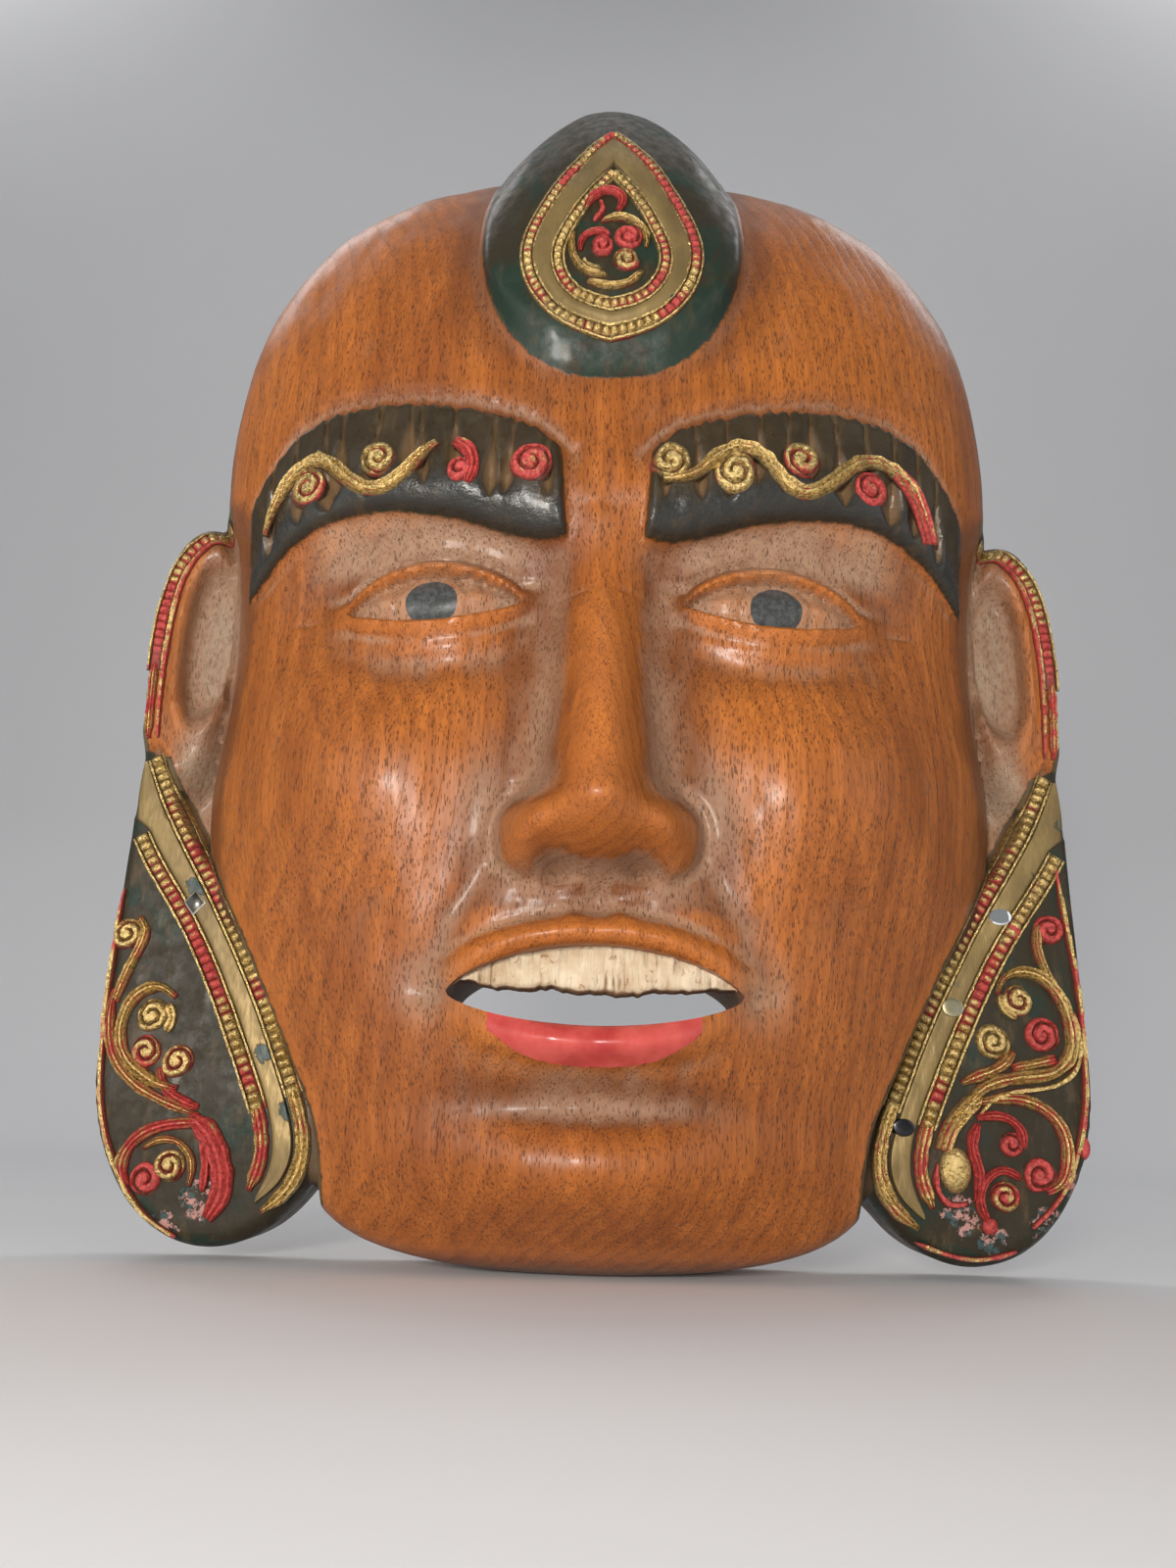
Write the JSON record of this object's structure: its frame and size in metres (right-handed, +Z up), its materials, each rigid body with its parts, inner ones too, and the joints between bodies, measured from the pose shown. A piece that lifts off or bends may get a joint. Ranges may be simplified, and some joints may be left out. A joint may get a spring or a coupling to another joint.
{
  "type": "wall mask",
  "caption": "Carved wooden wall mask with a crown boss, raised brows, ears running into side lappets, gilded relief trim, mirror chips, painted pupils, a pierced mouth and a hollow back.",
  "frame": {"origin": "centre of the mouth of the blind nail hole in the flat back rim", "axes": "+Z up the mask from chin to crown, +Y out of the back towards the wall, the face looks along -Y, +X to the viewer's right seen from the front"},
  "size_m": [0.2232, 0.0798, 0.3],
  "materials": {
    "teak": "varnished orange-brown teak; crown boss, brows and lappets under dark green-black lacquer, lower lip under glossy red",
    "tooth_strip": "rough pale fibre, unvarnished",
    "gilded_relief": "moulded lacquer putty, worn gilding over red",
    "gold_band": "moulded lacquer putty, matt gold",
    "mirror_chip": "small silvered glass chips, slightly clouded"
  },
  "bodies": {
    "root": {"carved_body": "teak", "upper_teeth": "tooth_strip", "crown_outer_beading": "gilded_relief", "crown_gold_band": "gold_band", "crown_inner_beading": "gilded_relief", "crown_scrollwork": "gilded_relief", "left_brow_scroll": "gilded_relief", "right_brow_scroll": "gilded_relief", "left_ear_beading": "gilded_relief", "left_lappet_inner_beading": "gilded_relief", "left_lappet_outer_beading": "gilded_relief", "left_lappet_gold_band": "gold_band", "left_lappet_scrollwork": "gilded_relief", "left_lappet_rim_cord": "gilded_relief", "left_lappet_mirrors": "mirror_chip", "right_ear_beading": "gilded_relief", "right_lappet_inner_beading": "gilded_relief", "right_lappet_outer_beading": "gilded_relief", "right_lappet_gold_band": "gold_band", "right_lappet_scrollwork": "gilded_relief", "right_lappet_rim_cord": "gilded_relief", "right_lappet_mirrors": "mirror_chip"}
  },
  "joints": []
}
